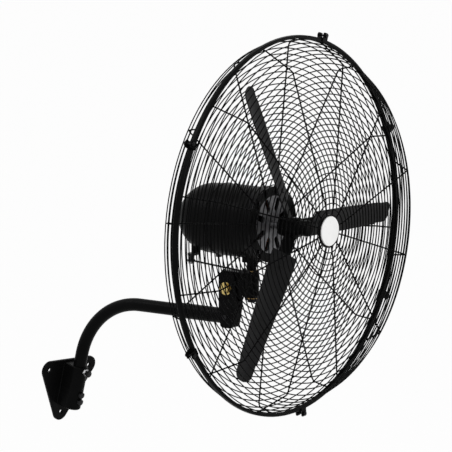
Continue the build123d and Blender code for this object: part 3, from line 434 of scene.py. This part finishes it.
def ring_spots(node):
    """(radius, forward) of every ring in a node, read where the rings cross the side direction."""
    spots = []
    for vertex in frame["nodes"][node].data.vertices:
        arm = vertex.co - HEAD
        side, height, forward = arm.dot(SIDE), arm.dot(UP), arm.dot(FORWARD)
        if side < 0 or abs(height) > READ_SLOPE * side:
            continue
        found = (side * side + height * height) ** 0.5, forward
        for spot in spots:
            if (Vector(spot[0]) - Vector(found)).length < SAME_RING:
                spot.append(found)
                break
        else:
            spots.append([found])
    return [tuple((min(axis) + max(axis)) / 2 for axis in zip(*spot)) for spot in spots]


def spot_welds(name, phase, drops):
    """A nugget at every crossing of a guard; drops give the way from a node's rings to the ribs."""
    maker = bmesh.new()
    for node, (inward, backward) in drops.items():
        for radius, forward in ring_spots(node):
            reach = radius - SINK * inward
            for index in range(RIB_COUNT):
                angle = radians(phase - 360 * index / RIB_COUNT)
                spot = head_point(reach * cos(angle), forward - SINK * backward, reach * sin(angle))
                bmesh.ops.create_icosphere(maker, subdivisions=1, radius=NUGGET,
                                           matrix=Matrix.Translation(spot))
    finish_piece(name, maker, "fan_head", "black_wire")


spot_welds("front_spot_welds", FRONT_PHASE,
           {"front_guard_rings": (0.12, 0.99), "front_side_rings": (0.83, 0.55)})
spot_welds("back_spot_welds", BACK_PHASE,
           {"back_guard_rings": (0, -1), "back_side_rings": (0.96, -0.28)})

# ---------------------------------------------------------------- floor, backdrop and light


def seen_rays(tree):
    """1 on camera, glossy and transmitted rays, which see plain white, and 0 on all others."""
    rays = tree.nodes.new("ShaderNodeLightPath")
    total = rays.outputs["Is Camera Ray"]
    for name in ("Is Glossy Ray", "Is Transmission Ray"):
        both = tree.nodes.new("ShaderNodeMath")
        both.operation = "MAXIMUM"
        tree.links.new(total, both.inputs[0])
        tree.links.new(rays.outputs[name], both.inputs[1])
        total = both.outputs[0]
    return total


def mix_in(tree, factor, first, second, output):
    mixer = tree.nodes.new("ShaderNodeMixShader")
    tree.links.new(factor, mixer.inputs["Fac"])
    tree.links.new(first, mixer.inputs[1])
    tree.links.new(second, mixer.inputs[2])
    tree.links.new(mixer.outputs[0], output.inputs["Surface"])


WORLD_LEVEL = 0.55
world = bpy.data.worlds.new("studio")
scene.world = world
world.use_nodes = True
tree = world.node_tree
dim = tree.nodes["Background"]
dim.inputs["Color"].default_value = (1, 1, 1, 1)
dim.inputs["Strength"].default_value = WORLD_LEVEL
white = tree.nodes.new("ShaderNodeBackground")
white.inputs["Color"].default_value = (1, 1, 1, 1)
mix_in(tree, seen_rays(tree), dim.outputs[0], white.outputs[0], tree.nodes["World Output"])

FLOOR_DEPTH = -1.25
FLOOR_HALF_WIDTH = 40
FLOOR_COLOUR = (0.86, 0.86, 0.86, 1)
FLOOR_WHITE_SHARE = 0.96    # the rest of what the camera sees is lit floor, which keeps the shadow
floor_mesh = bpy.data.meshes.new("floor")
maker = bmesh.new()
bmesh.ops.create_grid(maker, x_segments=1, y_segments=1, size=FLOOR_HALF_WIDTH)
maker.to_mesh(floor_mesh)
maker.free()
floor = bpy.data.objects.new("floor", floor_mesh)
floor.location = (0, 0, FLOOR_DEPTH)
scene.collection.objects.link(floor)
floor_material = bpy.data.materials.new("floor")
floor_material.use_nodes = True
tree = floor_material.node_tree
tree.nodes["Principled BSDF"].inputs["Base Color"].default_value = FLOOR_COLOUR
tree.nodes["Principled BSDF"].inputs["Roughness"].default_value = 0.9
glow = tree.nodes.new("ShaderNodeEmission")
part_white = tree.nodes.new("ShaderNodeMath")
part_white.operation = "MULTIPLY"
part_white.inputs[1].default_value = FLOOR_WHITE_SHARE
tree.links.new(seen_rays(tree), part_white.inputs[0])
mix_in(tree, part_white.outputs[0], tree.nodes["Principled BSDF"].outputs[0], glow.outputs[0],
       tree.nodes["Material Output"])
floor_mesh.materials.append(floor_material)


def softbox(name, where, size, watts):
    """A square area lamp that faces the fan's head."""
    lamp = bpy.data.lights.new(name, "AREA")
    lamp.size = size
    lamp.energy = watts
    holder = bpy.data.objects.new(name, lamp)
    scene.collection.objects.link(holder)
    holder.location = where
    holder.rotation_euler = (Vector(where) - HEAD).to_track_quat("Z", "Y").to_euler()


softbox("key", where=(-2.2, -2.6, 3.2), size=1.6, watts=95)
softbox("fill", where=(3.2, -2.8, 1.4), size=2.0, watts=25)
softbox("rim", where=(-1.6, 1.8, 2.2), size=1.2, watts=20)
